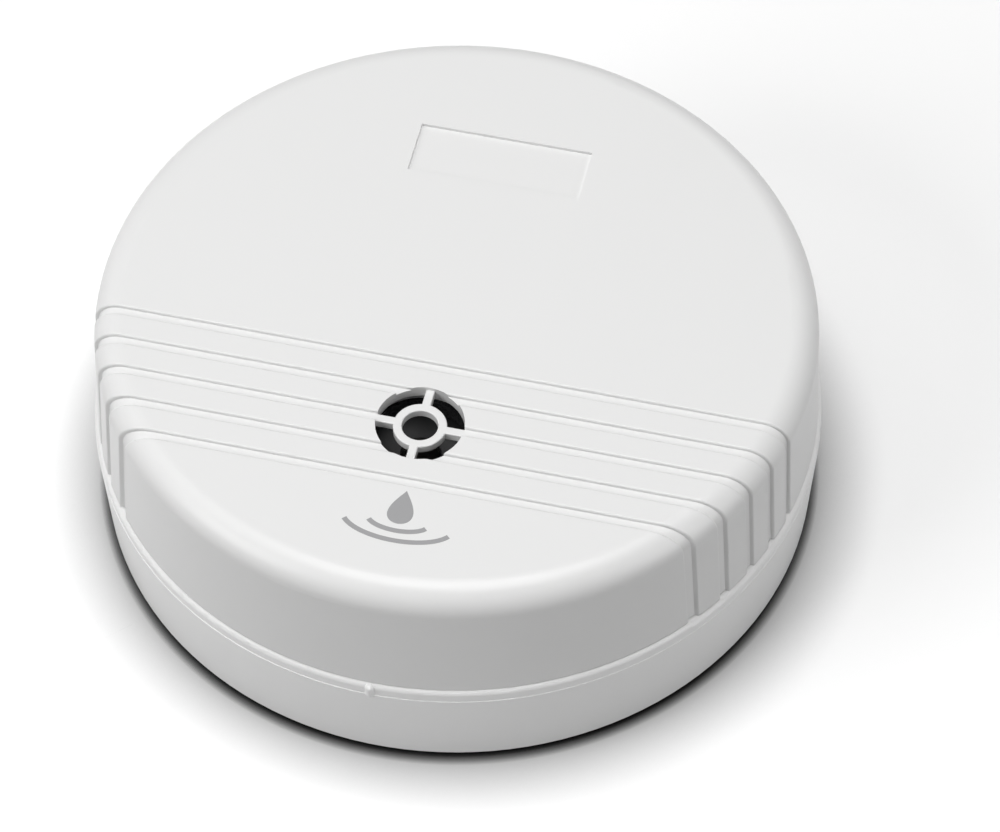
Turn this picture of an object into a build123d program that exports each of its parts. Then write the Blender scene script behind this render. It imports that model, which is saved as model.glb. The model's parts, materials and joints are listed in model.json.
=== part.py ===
from build123d import *
import math
import os

# Free-standing water leak alarm: a round drafted base tray and a grooved cover that lifts straight off it.
# The origin is on the floor under the middle, +Z is up, and the grooves run along X with the sound grille
# towards -Y. Lengths are in millimetres and angles in degrees.

# Outer form of the puck
base_diameter = 90.0  # at the step below the rim, its widest place
base_wall_height = 12.0  # from the underside up to that step
base_edge_round = 0.25
rim_step = 0.09  # how far the rim band stands in from the wall below it
rim_step_round_share = 0.8  # of the step's width, along the wall's upper edge
rim_height = 1.75
rim_round = 0.7
seam_gap = 0.1  # dark line between the rim's ledge and the cover
cover_setback = 0.41  # how far the cover's lower edge stands in from the rim
cover_height = 16.95
cover_round = 3.5  # radius along the edge of the top
draft_angle = 3.0  # slope of every outer wall

# Walls and general clearances
base_floor = 2.0
floor_round = 1.0
cover_wall = 1.6
cover_top_wall = 1.6
least_round = 0.1
overrun = 1.0  # how far a cutting shape passes the surface that it cuts
weld = 0.3  # how far a joined feature reaches into the wall that carries it

# Grooves, grille and label recess of the cover
groove_count = 5
groove_pitch = 4.28
groove_width = 1.1  # between its side walls, inside the rounded shoulders
groove_depth = 0.45
groove_round_share = 0.55  # of the groove's depth, along its shoulders
grille_offset = 18.55  # from the puck's middle to the grille's middle, towards the front
grille_diameter = 10.6
grille_ring_outer = 6.4
grille_ring_inner = 4.3
grille_spoke_width = 1.05
grille_thickness = 1.05
grille_round = 0.15
label_length = 21.7
label_width = 7.6
label_depth = 0.4
label_offset = 23.15  # from the puck's middle to the recess's middle, towards the back
plate_recess_length = 36.0  # shallow recess under the base, for a rating label
plate_recess_width = 20.0
plate_recess_depth = 0.25
plate_recess_round = 2.0

# Features inside the cover
collar_outer = 16.0
collar_wall = 1.5
collar_height = 2.0
key_width = 3.4  # locating key at the front
key_depth = 1.9
key_clearance = 0.3
hold_rib_thickness = 1.2
hold_rib_length = 18.0
hold_rib_spacing = 24.0
hold_clearance = 0.4  # between these ribs and the battery

# Spigot that the cover pushes onto
spigot_height = 3.8
spigot_wall = 1.2
spigot_gap = 0.3
guide_rib_count = 6
guide_rib_width = 1.6
guide_clearance = 0.08
pip_width = 1.1
pip_proud = 0.45

# Sensor contacts: their flat heads are both the feet and the water probes
contact_head_diameter = 8.0
contact_head_height = 1.0
contact_head_round = 0.3
contact_inset = 8.8  # from the base's widest radius to the circle of the contacts
front_contact_angle = 48.0
rear_contact_angle = 67.0
stud_diameter = 3.0
stud_tip = 1.0  # thread that shows above the nut
stud_clearance = 0.1
thread_clearance = 0.03
seal_section = 0.96
seal_inner_diameter = 3.6
seal_recess_diameter = 6.4
seal_recess_depth = 1.0
contact_pad_diameter = 8.0
contact_pad_height = 1.0
spacer_diameter = 5.5
spacer_length = 7.0
washer_diameter = 7.0
washer_thickness = 0.5
nut_across_flats = 5.5
nut_height = 2.4
terminal_diameter = 7.0
terminal_thickness = 0.8
terminal_reach = 5.0  # from the stud to the crimp barrel
barrel_diameter = 2.6
barrel_length = 4.5

# Nine volt battery lying on its side, its terminals towards +X
battery_length = 46.4
battery_width = 26.5
battery_thickness = 17.5
battery_corner = 2.5
battery_shift = 2.3  # from the puck's middle to the battery's middle, away from the clip
jacket_wall = 0.35
jacket_lip = 1.2
end_plate_thickness = 1.0
cell_clearance = 0.05
terminal_spacing = 12.7
terminal_post_diameter = 5.7
terminal_flange_diameter = 7.4
terminal_flange_thickness = 0.4
terminal_ring_diameter = 8.3
terminal_ring_bore = 5.9
terminal_height = 2.1  # beyond the end of the jacket
terminal_slot_count = 3  # slots right across a snap socket
terminal_slot_width = 0.6
terminal_slot_depth = 1.5
pad_thickness = 1.0
pad_length = 40.0
pad_width = 20.0
battery_clearance = 0.4
cradle_wall = 1.4
cradle_height = 8.0
cradle_rib_length = 9.0
cradle_gap = 0.95  # between the cradle's rear wall and the rear contact pads
stop_width = 3.0

# Battery clip
clip_gap = 0.25  # left between the terminals' tips and the clip's plate
clip_length = 25.5
clip_width = 12.5
clip_thickness = 3.0
clip_corner = 1.5
clip_edge_round = 0.5
battery_lead_diameter = 1.5
battery_lead_spacing = 3.2
sensor_lead_diameter = 1.4
sensor_lead_straight = 3.5  # from its crimp barrel to its first bend

# Routes of the leads, chosen by hand. Along the wall: shares of the cavity's radius, and of the height from
# the crimp barrel to the board. At the clip and at the board's pads: shares of the lead's own diameter.
sensor_route_shares = ((0.782, 0.534, 0.1), (0.893, 0.279, 0.36), (0.903, 0.053, 1.04), (0.869, -0.049, 1.57))
sensor_drop_shares = ((0.2, 1.1, 3.6), (0, 0, 2.4), (0, 0, 0))
battery_rise_shares = ((0, 0, 0), (0, 0, 2.4), (2.6, -2.0, 4.6))
battery_arch_shares = (0.8, 4.0)
battery_drop_shares = ((0.3, 3.2, 6.2), (0, 0, 3.6), (0, 0, 0))
bend_share = 0.45  # of the shorter run beside a bend, used up by its arc

# Circuit board and its fixings
board_clearance = 1.8  # between the board and the tray's wall
board_thickness = 1.6
board_gap = 1.25  # between the board's straight edge and the cradle
boss_diameter = 6.0
boss_spread = 54.0
boss_setback = 3.7  # from the board's straight edge
screw_diameter = 2.6
screw_length = 8.0
screw_head_diameter = 5.0
screw_head_height = 1.8
screw_slot_width = 0.7
screw_slot_depth = 0.8
pilot_depth = 7.0
lead_pad_offset = 7.5  # from a board screw outwards to the sensor lead's pad
leg_tail = 1.2  # below the board
hole_clearance = 0.15
part_gap = 4.0  # from the sounder to the parts around it
standoff = 0.4  # under parts that don't sit flat on the board

# Sounder
sounder_diameter = 27.0
sounder_height = 11.8
sounder_wall = 1.1
sounder_floor = 1.2
disc_ledge_width = 1.6
disc_level = 5.5  # of the ledge, above the sounder's foot
disc_clearance = 0.2
disc_thickness = 0.3
ceramic_diameter = 15.0
ceramic_thickness = 0.25
sounder_cap_thickness = 1.2
sounder_cap_skirt = 2.0
sounder_cap_fit = 0.05
sound_hole_diameter = 5.0
sounder_pin_diameter = 0.8
sounder_pin_circle_radius = 9.0
foam_outer = 16.0
foam_wall = 1.7
foam_clearance = 0.3

# Parts on the board
chip_length = 9.6
chip_width = 6.4
chip_height = 3.3
chip_round = 0.3
chip_row_spacing = 7.62
chip_side_legs = 4
chip_pitch = 2.54
chip_leg_width = 0.5
chip_shoulder_width = 1.3
chip_leg_thickness = 0.3
chip_notch_diameter = 1.6
chip_notch_depth = 0.4
coil_diameter = 9.0
coil_height = 10.5
coil_round = 0.7
coil_pin_diameter = 0.7
coil_pin_circle_radius = 3.0
capacitor_diameter = 6.3
capacitor_height = 11.2
capacitor_round = 0.6
capacitor_vent_width = 0.35
capacitor_vent_depth = 0.2
capacitor_leg_spacing = 2.5
transistor_diameter = 4.8
transistor_height = 4.7
transistor_flat = 1.4
transistor_standoff = 2.4
transistor_pitch = 1.27
transistor_leg_width = 0.45
resistor_diameter = 2.4
resistor_waist = 2.0
resistor_length = 6.4
resistor_cap_length = 1.4
resistor_span = 10.2
diode_diameter = 1.9
diode_length = 3.9
diode_span = 7.0
diode_spacing = 3.2
ceramic_body_diameter = 5.0
ceramic_body_thickness = 2.2
ceramic_leg_spacing = 2.5
wire_leg_diameter = 0.6
wire_bend = 0.7
row_margin = 2.5  # from the board's straight edge to the first row of resistors
row_pitch = 3.3
row_gap = 1.25  # between a board screw's head and the nearest resistor leg

# Directions from the sounder's middle to the parts that stand around it
coil_direction = 7.0
chip_direction = 170.0
capacitor_direction = 222.0
transistor_direction = 315.0
ceramic_directions = (249.0, 270.0, 291.0)
sounder_pin_directions = (30.0, 150.0, 270.0)
coil_pin_directions = (60.0, 180.0, 300.0)

UPRIGHT = (Align.CENTER, Align.CENTER, Align.MIN)
slope = math.tan(math.radians(draft_angle))

# Levels
underside = contact_head_height
step_level = underside + base_wall_height
ledge_level = step_level + rim_height
cover_bottom = ledge_level + seam_gap
top_level = cover_bottom + cover_height
ceiling = top_level - cover_top_wall
floor_level = underside + base_floor
spigot_top = ledge_level + spigot_height
pad_level = floor_level + contact_pad_height
board_level = pad_level + spacer_length
board_top = board_level + board_thickness
tail_level = board_level - leg_tail
battery_level = floor_level + pad_thickness
battery_top = battery_level + battery_thickness
battery_axis_level = battery_level + battery_thickness / 2

# Radii
base_radius = base_diameter / 2
rim_radius = base_radius - rim_step
cover_radius = rim_radius - cover_setback
stud_radius = stud_diameter / 2
contact_circle_radius = base_radius - contact_inset
cavity_radius = cover_radius - cover_wall - (spigot_top - cover_bottom) * slope - spigot_gap - spigot_wall
board_radius = cavity_radius - board_clearance

# Places
grille_centre = (0, -grille_offset)
groove_lines = [-grille_offset + (i - (groove_count - 1) / 2) * groove_pitch for i in range(groove_count)]


def polar(radius, angle, centre=(0, 0)):
    """Point at a distance and a direction from a centre."""
    turn = math.radians(angle)
    return (centre[0] + radius * math.cos(turn), centre[1] + radius * math.sin(turn))


front_contacts = [polar(contact_circle_radius, -a) for a in (front_contact_angle, 180 - front_contact_angle)]
rear_contacts = [polar(contact_circle_radius, a) for a in (rear_contact_angle, 180 - rear_contact_angle)]
contacts = front_contacts + rear_contacts

battery_rear = rear_contacts[0][1] - contact_pad_diameter / 2 - cradle_gap - cradle_wall - battery_clearance
battery_front = battery_rear - battery_width
battery_line = battery_rear - battery_width / 2
battery_end = battery_length / 2 - battery_shift
battery_start = battery_end - battery_length
clip_start = battery_end + terminal_height + clip_gap
clip_end = clip_start + clip_thickness

board_edge = battery_front - battery_clearance - cradle_wall - board_gap
screw_line = board_edge - boss_setback
board_screws = [(side * boss_spread / 2, screw_line) for side in (1, -1)]
lead_pads = [(x + math.copysign(lead_pad_offset, x), screw_line) for x, y in board_screws]


def disc(radius, low, high, place=(0, 0)):
    """Upright cylinder between two levels."""
    return Pos(*place, low) * Cylinder(radius, high - low, align=UPRIGHT)


def ring(outer, inner, low, high, place=(0, 0)):
    """Upright tube between two levels, given by its two radii."""
    return disc(outer, low, high, place) - disc(inner, low - overrun, high + overrun, place)


def block(x_low, x_high, y_low, y_high, z_low, z_high):
    """Box between three pairs of planes."""
    middle = Pos((x_low + x_high) / 2, (y_low + y_high) / 2, (z_low + z_high) / 2)
    return middle * Box(x_high - x_low, y_high - y_low, z_high - z_low)


def frustum(radius, level, low, high, sense=1):
    """Drafted disc with the given radius at one level, narrower upwards for a sense of 1."""
    foot = radius - sense * (low - level) * slope
    head = radius - sense * (high - level) * slope
    return Pos(0, 0, low) * Cone(foot, head, high - low, align=UPRIGHT)


def top_edge(shape):
    return shape.edges().sort_by(Axis.Z)[-1]


def bottom_edge(shape):
    return shape.edges().sort_by(Axis.Z)[0]


def cover_form(side_inset, top_inset, low):
    """The cover's outer form, drawn in from its wall and its top."""
    form = frustum(cover_radius - side_inset, cover_bottom, low, top_level - top_inset)
    return fillet(top_edge(form), max(cover_round - side_inset, least_round))


def spoke_cross(centre, reach, width, low, high):
    """Four spokes as two crossing bars."""
    x, y = centre
    along = block(x - reach, x + reach, y - width / 2, y + width / 2, low, high)
    across = block(x - width / 2, x + width / 2, y - reach, y + reach, low, high)
    return along + across


def make_cover():
    """Shell with grooves that run over the top and down both side walls."""
    body = cover_form(0, 0, cover_bottom)
    groove_floor = cover_form(groove_depth, groove_depth, cover_bottom - overrun)
    reach = cover_radius + overrun
    for line in groove_lines:
        slab = block(-reach, reach, line - groove_width / 2, line + groove_width / 2,
                     cover_bottom - overrun, top_level + overrun)
        body -= slab - groove_floor
    shoulders = []
    for face in body.faces().filter_by(Plane.XZ):
        for edge in face.edges():
            if groove_floor.distance_to(edge @ 0.5) > groove_depth * 2 / 3:
                shoulders.append(edge)
    body = fillet(shoulders, groove_depth * groove_round_share)
    body -= cover_form(cover_wall, cover_top_wall, cover_bottom - overrun)
    body -= disc(grille_diameter / 2, ceiling - overrun, top_level + overrun, grille_centre)
    body += make_grille()
    body -= block(-label_length / 2, label_length / 2, label_offset - label_width / 2,
                  label_offset + label_width / 2, top_level - label_depth, top_level + overrun)
    collar_radius = collar_outer / 2
    body += ring(collar_radius, collar_radius - collar_wall, ceiling - collar_height, ceiling + weld,
                 grille_centre)
    for side in (-1, 1):
        middle = (battery_start + battery_end) / 2 + side * hold_rib_spacing / 2
        body += block(middle - hold_rib_thickness / 2, middle + hold_rib_thickness / 2,
                      battery_line - hold_rib_length / 2, battery_line + hold_rib_length / 2,
                      battery_top + hold_clearance, ceiling + weld)
    key_face = cover_radius - cover_wall - key_depth
    key = block(-key_width / 2, key_width / 2, -cover_radius, -key_face,
                cover_bottom + seam_gap, ceiling + weld)
    return body + (key & cover_form(cover_wall - weld, cover_top_wall - weld, cover_bottom))


def make_grille():
    """Ring on four spokes, level with the grooves' floors."""
    high = top_level - groove_depth
    low = high - grille_thickness
    spokes = spoke_cross(grille_centre, grille_diameter / 2 + weld, grille_spoke_width, low, high)
    spokes -= disc(grille_ring_inner / 2, low - overrun, high + overrun, grille_centre)
    grille = spokes + ring(grille_ring_outer / 2, grille_ring_inner / 2, low, high, grille_centre)
    return fillet(grille.faces().sort_by(Axis.Z)[-1].edges(), grille_round)


def make_base():
    """Tray with a drafted wall, a rim band, a spigot for the cover and the inner supports."""
    wall = frustum(base_radius, step_level, underside, step_level, sense=-1)
    wall = fillet(bottom_edge(wall), base_edge_round)
    wall = fillet(top_edge(wall), rim_step * rim_step_round_share)
    band = disc(rim_radius, step_level - weld, ledge_level)
    band = fillet(top_edge(band), rim_round)
    inner_radius = cover_radius - cover_wall
    spigot = frustum(inner_radius - spigot_gap, cover_bottom, ledge_level - weld, spigot_top)
    guide = frustum(inner_radius - guide_clearance, cover_bottom, ledge_level - weld, spigot_top)
    rib = block(0, cover_radius, -guide_rib_width / 2, guide_rib_width / 2, ledge_level - weld, spigot_top)
    body = wall + band + spigot
    for i in range(guide_rib_count):
        body += (Rot(0, 0, 360 * i / guide_rib_count) * rib) & guide
    cavity = fillet(bottom_edge(disc(cavity_radius, floor_level, spigot_top + overrun)), floor_round)
    body -= cavity
    slot = key_width / 2 + key_clearance
    body -= block(-slot, slot, -cover_radius, 0, ledge_level, spigot_top + overrun)
    body += make_pip()
    for place in contacts:
        body += disc(contact_pad_diameter / 2, floor_level - weld, pad_level, place)
    for place in board_screws:
        body += disc(boss_diameter / 2, floor_level - weld, board_level, place)
        body -= disc(screw_diameter / 2, board_level - pilot_depth, board_level + overrun, place)
    for piece in cradle_walls():
        body += piece
    for place in contacts:
        body -= disc(stud_radius + stud_clearance, underside - overrun, pad_level + overrun, place)
        body -= disc(seal_recess_diameter / 2, underside - overrun, underside + seal_recess_depth, place)
    plate = RectangleRounded(plate_recess_length, plate_recess_width, plate_recess_round)
    return body - Pos(0, 0, underside - overrun) * extrude(plate, overrun + plate_recess_depth)


def make_pip():
    """Half-round pip on the rim band at the middle of the front, with a domed top."""
    place = (0, -(rim_radius + pip_proud - pip_width / 2))
    post = disc(pip_width / 2, step_level, ledge_level - pip_width / 2, place)
    return post + Pos(*place, ledge_level - pip_width / 2) * Sphere(pip_width / 2)


def cradle_walls():
    """Low walls that keep the battery in place, open at the corners and at its terminals."""
    low, high = floor_level - weld, floor_level + cradle_height
    front, rear = battery_front - battery_clearance, battery_rear + battery_clearance
    start, end = battery_start - battery_clearance, battery_end + battery_clearance
    middle = (battery_start + battery_end) / 2
    walls = [block(start - cradle_wall, start, battery_line - cradle_rib_length / 2,
                   battery_line + cradle_rib_length / 2, low, high),
             block(end, end + cradle_wall, battery_line - stop_width / 2, battery_line + stop_width / 2,
                   low, high)]
    for side in (-1, 1):
        x = middle + side * battery_length / 4
        x_low, x_high = x - cradle_rib_length / 2, x + cradle_rib_length / 2
        walls.append(block(x_low, x_high, rear, rear + cradle_wall, low, high))
        walls.append(block(x_low, x_high, front - cradle_wall, front, low, high))
    return walls


def fixing_seats():
    """Each contact with the level that its washer sits on."""
    seats = [(place, board_top) for place in front_contacts]
    return seats + [(place, pad_level + terminal_thickness) for place in rear_contacts]


def make_contacts():
    """Four studs, the front two long enough to pass through the board."""
    studs = []
    for place, seat in fixing_seats():
        head = disc(contact_head_diameter / 2, 0, contact_head_height, place)
        head = fillet(bottom_edge(head), contact_head_round)
        tip = seat + washer_thickness + nut_height + stud_tip
        studs.append(head + disc(stud_radius, contact_head_height - weld, tip, place))
    return studs


def make_seals():
    level = underside + seal_recess_depth / 2
    major = (seal_inner_diameter + seal_section) / 2
    return [Pos(*place, level) * Torus(major, seal_section / 2) for place in contacts]


def make_washers():
    bore = stud_radius + stud_clearance
    return [ring(washer_diameter / 2, bore, low, low + washer_thickness, place)
            for place, low in fixing_seats()]


def make_nuts():
    """Hexagon nuts with their corners broken at the top."""
    bore = stud_radius + thread_clearance
    nuts = []
    for place, seat in fixing_seats():
        low = seat + washer_thickness
        hexagon = extrude(RegularPolygon(nut_across_flats / 2, 6, major_radius=False), nut_height)
        corner = nut_across_flats / 2 / math.cos(math.radians(30))
        dome = Cone(corner + nut_height / 2, nut_across_flats / 2, nut_height, align=UPRIGHT)
        hole = disc(bore, low - overrun, low + nut_height + overrun, place)
        nuts.append(Pos(*place, low) * (hexagon & dome) - hole)
    return nuts


def make_spacers():
    bore = stud_radius + stud_clearance
    return [ring(spacer_diameter / 2, bore, pad_level, board_level, place) for place in front_contacts]


def terminal_heading(place):
    """Direction along the wall, from a rear contact towards the board."""
    side = math.copysign(1, place[0])
    return math.degrees(math.atan2(place[1], place[0])) - side * 90


def make_ring_terminals():
    """Ring, tongue and crimp barrel of the two rear contacts."""
    terminals = []
    bore = stud_radius + stud_clearance
    for place in rear_contacts:
        eye = disc(terminal_diameter / 2, 0, terminal_thickness)
        tongue = block(0, terminal_reach + weld, -barrel_diameter / 2, barrel_diameter / 2,
                       0, terminal_thickness)
        barrel = Pos(terminal_reach + barrel_length / 2, 0, barrel_diameter / 2)
        barrel *= Rot(0, 90, 0) * Cylinder(barrel_diameter / 2, barrel_length)
        shape = eye + tongue + barrel - disc(bore, -overrun, terminal_thickness + overrun)
        terminals.append(Pos(*place, pad_level) * Rot(0, 0, terminal_heading(place)) * shape)
    return terminals


def corner_radii(points):
    """Bend radius at each inner corner: as large as the shorter of its two runs allows."""
    radii = []
    for before, here, after in zip(points, points[1:], points[2:]):
        first, second = Vector(*here) - Vector(*before), Vector(*after) - Vector(*here)
        half_turn = math.radians(first.get_angle(second) / 2)
        radii.append(bend_share * min(first.length, second.length) / math.tan(half_turn))
    return radii


def lead(name, points, diameter):
    """Insulated wire along straight runs joined by tangent arcs."""
    radii = corner_radii(points)
    path = FilletPolyline(*points, radius=radii)
    wire = sweep(Plane(origin=path @ 0, z_dir=path % 0) * Circle(diameter / 2), path=path)
    section = math.pi * diameter ** 2 / 4
    share = wire.volume / (section * path.length)
    print(name, "length", round(path.length, 1), "volume share", round(share, 4))
    print("radii", [round(r, 1) for r in radii])
    return wire


def sensor_lead(name, place, pad):
    """Wire from a rear contact, round the battery's end along the wall, up and onto the board."""
    side = math.copysign(1, place[0])
    heading = terminal_heading(place)
    level = pad_level + barrel_diameter / 2
    points = [(*polar(terminal_reach + barrel_length, heading, place), level),
              (*polar(terminal_reach + barrel_length + sensor_lead_straight, heading, place), level)]
    for across, back, rise in sensor_route_shares:
        points.append((side * across * cavity_radius, back * cavity_radius,
                       level + rise * (board_top - level)))
    x, y = pad
    for across, back, rise in sensor_drop_shares:
        points.append((x + side * across * sensor_lead_diameter, y + back * sensor_lead_diameter,
                       board_top + rise * sensor_lead_diameter))
    return lead(name, points, sensor_lead_diameter)


def battery_lead(name, shift, pad):
    """Wire from the middle of the clip's upper edge, in an arch beside the battery, down to the board."""
    x, y = (clip_start + clip_end) / 2, battery_line + shift
    end_x, end_y = pad
    top = battery_axis_level + clip_width / 2
    size = battery_lead_diameter
    points = []
    for across, back, rise in battery_rise_shares:
        points.append((x + across * size, y + back * size, top + rise * size))
    across, rise = battery_arch_shares
    points.append((end_x + across * size, (y + end_y) / 2, top + rise * size))
    for across, back, rise in battery_drop_shares:
        points.append((end_x + across * size, end_y + back * size, board_top + rise * size))
    return lead(name, points, size)


def along_x(shape, x, y, z):
    """Turn an upright shape onto the X axis and set its foot at a point."""
    return Pos(x, y, z) * Rot(0, 90, 0) * shape


def battery_section(inset, x_low, x_high, corner):
    """Rounded bar along X with the battery's section, drawn in by an inset."""
    round_size = max(corner, least_round)
    face = RectangleRounded(battery_thickness - 2 * inset, battery_width - 2 * inset, round_size)
    return along_x(extrude(face, x_high - x_low), x_low, battery_line, battery_axis_level)


def make_jacket():
    """Thin steel sleeve, turned in over both end plates."""
    inner = battery_corner - jacket_wall
    shell = battery_section(0, battery_start, battery_end, battery_corner)
    shell -= battery_section(jacket_wall, battery_start + jacket_wall, battery_end - jacket_wall, inner)
    window = battery_section(jacket_wall + jacket_lip, battery_start - overrun, battery_end + overrun,
                             inner - jacket_lip)
    return shell - window


def inside_jacket(x_low, x_high):
    inset = jacket_wall + cell_clearance
    return battery_section(inset, x_low, x_high, battery_corner - inset)


plate_face = battery_end - jacket_wall
terminal_places = [battery_line + side * terminal_spacing / 2 for side in (1, -1)]


def post(x_low, x_high, y, radius, facing):
    """Stud along X whose free end is rounded: the end towards +X for a facing of 1, or towards -X for -1."""
    shaft = Cylinder(radius, x_high - x_low, align=UPRIGHT)
    edge = top_edge(shaft) if facing > 0 else bottom_edge(shaft)
    return along_x(fillet(edge, terminal_flange_thickness), x_low, y, battery_axis_level)


def crown_ring(x_low, x_high, y, facing):
    """Snap socket along X: a ring whose free end is slotted, which lets its lips spring."""
    height = x_high - x_low
    shape = Cylinder(terminal_ring_diameter / 2, height, align=UPRIGHT)
    shape -= Cylinder(terminal_ring_bore / 2, height, align=UPRIGHT)
    depth = terminal_slot_depth
    slot_middle = height - depth / 2 if facing > 0 else depth / 2
    for i in range(terminal_slot_count):
        turn = Rot(0, 0, 180 * i / terminal_slot_count)
        slot = Box(terminal_ring_diameter + overrun, terminal_slot_width, depth)
        shape -= Pos(0, 0, slot_middle) * turn * slot
    return along_x(shape, x_low, y, battery_axis_level)


def make_battery_terminals():
    """Male stud on one side and female socket on the other, each on a flange."""
    male, female = terminal_places
    tip = battery_end + terminal_height
    shapes = []
    for y in terminal_places:
        flange = Cylinder(terminal_flange_diameter / 2, terminal_flange_thickness, align=UPRIGHT)
        shapes.append(along_x(flange, plate_face, y, battery_axis_level))
    start = plate_face + terminal_flange_thickness - cell_clearance
    return (shapes[0] + post(start, tip, male, terminal_post_diameter / 2, 1),
            shapes[1] + crown_ring(start, tip, female, 1))


def make_clip():
    """Moulded plate of the battery clip with its wire exits on the upper edge."""
    face = RectangleRounded(clip_width, clip_length, clip_corner)
    plate = along_x(extrude(face, clip_thickness), clip_start, battery_line, battery_axis_level)
    return fillet(plate.faces().sort_by(Axis.X)[-1].edges(), clip_edge_round)


def make_clip_terminals():
    """The clip's own socket and stud, each facing its opposite on the battery."""
    male, female = terminal_places
    tip = plate_face + terminal_flange_thickness + clip_gap
    stud = post(tip, clip_start, female, terminal_post_diameter / 2, -1)
    return crown_ring(tip, clip_start, male, -1), stud


def beside_sounder(direction, own_reach):
    """Place of a part around the sounder, as far off it as its own half width asks."""
    return polar(sounder_diameter / 2 + part_gap + own_reach, direction, grille_centre)


coil_place = beside_sounder(coil_direction, coil_diameter / 2)
chip_place = beside_sounder(chip_direction, chip_length / 2)
capacitor_place = beside_sounder(capacitor_direction, capacitor_diameter / 2)
transistor_place = beside_sounder(transistor_direction, transistor_diameter / 2)
ceramic_places = [beside_sounder(d, ceramic_body_thickness / 2) for d in ceramic_directions]
row_middle = board_screws[0][0] - screw_head_diameter / 2 - row_gap - resistor_span / 2
side_line = lead_pads[0][0] - part_gap / 2
resistor_places = [(row_middle, board_edge - row_margin, 0),
                   (row_middle, board_edge - row_margin - row_pitch, 0),
                   (-row_middle, board_edge - row_margin, 0),
                   (-side_line, chip_place[1] - resistor_diameter, 90)]
battery_pads = [(side_line - diode_spacing / 2, screw_line - part_gap - battery_lead_diameter),
                (side_line + diode_spacing / 2, screw_line - part_gap - battery_lead_diameter)]
diode_line = battery_pads[0][1] - diode_span / 2 - battery_lead_diameter - hole_clearance
diode_places = [(side_line - diode_spacing, diode_line, 90), (side_line, diode_line, 90)]


def local_to_board(place, spot):
    """Turn a spot given beside a part into a place on the board."""
    x, y, turn = place
    dx, dy = polar(math.hypot(*spot), turn + math.degrees(math.atan2(spot[1], spot[0])))
    return (x + dx, y + dy)


def chip_spots():
    """Legs of the chip along both of its long sides."""
    offsets = [(i - (chip_side_legs - 1) / 2) * chip_pitch for i in range(chip_side_legs)]
    x, y = chip_place
    return [(x + offset, y + side * chip_row_spacing / 2) for offset in offsets for side in (1, -1)]


def leg_holes():
    """Every hole that a leg passes through, with its radius."""
    thin = wire_leg_diameter / 2
    holes = [(spot, math.hypot(chip_leg_width, chip_leg_thickness) / 2) for spot in chip_spots()]
    holes += [(spot, coil_pin_diameter / 2) for spot in coil_spots()]
    holes += [(spot, thin) for spot in capacitor_spots()]
    holes += [(spot, transistor_leg_width / math.sqrt(2)) for spot in transistor_spots()]
    holes += [(spot, sounder_pin_diameter / 2) for spot in sounder_spots()]
    lying = [(place, resistor_span) for place in resistor_places]
    lying += [(place, diode_span) for place in diode_places]
    for place, span in lying:
        holes += [(local_to_board(place, (side * span / 2, 0)), thin) for side in (1, -1)]
    holes += [(spot, thin) for spot in ceramic_spots()]
    return holes


def coil_spots():
    return [polar(coil_pin_circle_radius, d, coil_place) for d in coil_pin_directions]


def capacitor_spots():
    return [(capacitor_place[0] + side * capacitor_leg_spacing / 2, capacitor_place[1]) for side in (1, -1)]


def transistor_spots():
    return [(transistor_place[0] + i * transistor_pitch, transistor_place[1]) for i in (-1, 0, 1)]


def sounder_spots():
    return [polar(sounder_pin_circle_radius, d, grille_centre) for d in sounder_pin_directions]


def ceramic_spots():
    return [(x + side * ceramic_leg_spacing / 2, y) for x, y in ceramic_places for side in (1, -1)]


def make_board():
    """D-shaped board over the front half of the tray."""
    body = disc(board_radius, board_level, board_top)
    body &= block(-board_radius, board_radius, -board_radius, board_edge, board_level, board_top)
    holes = [(place, stud_radius + stud_clearance) for place in front_contacts]
    holes += [(place, screw_diameter / 2 + hole_clearance) for place in board_screws]
    holes += [(place, radius + hole_clearance) for place, radius in leg_holes()]
    for place, radius in holes:
        body -= disc(radius, board_level - overrun, board_top + overrun, place)
    return body


def make_board_screws():
    """Pan-head screws with a cross recess, in the two bosses."""
    screws = []
    for place in board_screws:
        head = disc(screw_head_diameter / 2, board_top, board_top + screw_head_height, place)
        head = fillet(top_edge(head), screw_head_height / 3)
        high = board_top + screw_head_height
        head -= spoke_cross(place, screw_head_diameter / 4, screw_slot_width,
                            high - screw_slot_depth, high + overrun)
        shank_top = board_top + weld
        shank = disc(screw_diameter / 2 - thread_clearance, shank_top - screw_length, shank_top, place)
        screws.append(head + shank)
    return screws


def pins(spots, diameter, high):
    return [disc(diameter / 2, tail_level, high, spot) for spot in spots]


def make_chip():
    """Moulded body of an eight-legged chip with its end notch."""
    x, y = chip_place
    low = board_top + standoff
    body = block(x - chip_length / 2, x + chip_length / 2, y - chip_width / 2, y + chip_width / 2,
                 low, low + chip_height)
    body = chamfer(body.edges().filter_by(Axis.Z, reverse=True), chip_round)
    notch = disc(chip_notch_diameter / 2, low + chip_height - chip_notch_depth, low + chip_height + overrun,
                 (x - chip_length / 2, y))
    return body - notch


def make_chip_legs():
    """Legs that leave the chip's long sides and turn down through the board."""
    legs = []
    low = board_top + standoff
    shoulder = low + chip_height / 2
    for x, y in chip_spots():
        side = math.copysign(1, y - chip_place[1])
        edge = chip_place[1] + side * chip_width / 2
        outer = y + side * chip_leg_thickness / 2
        y_low, y_high = sorted((edge, outer))
        arm = block(x - chip_shoulder_width / 2, x + chip_shoulder_width / 2, y_low, y_high,
                    shoulder - chip_leg_thickness, shoulder)
        y_low, y_high = sorted((y - side * chip_leg_thickness / 2, outer))
        wide = block(x - chip_shoulder_width / 2, x + chip_shoulder_width / 2, y_low, y_high,
                     board_top + standoff, shoulder)
        thin = block(x - chip_leg_width / 2, x + chip_leg_width / 2, y_low, y_high, tail_level, shoulder)
        legs.append(arm + wide + thin)
    return legs


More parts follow.
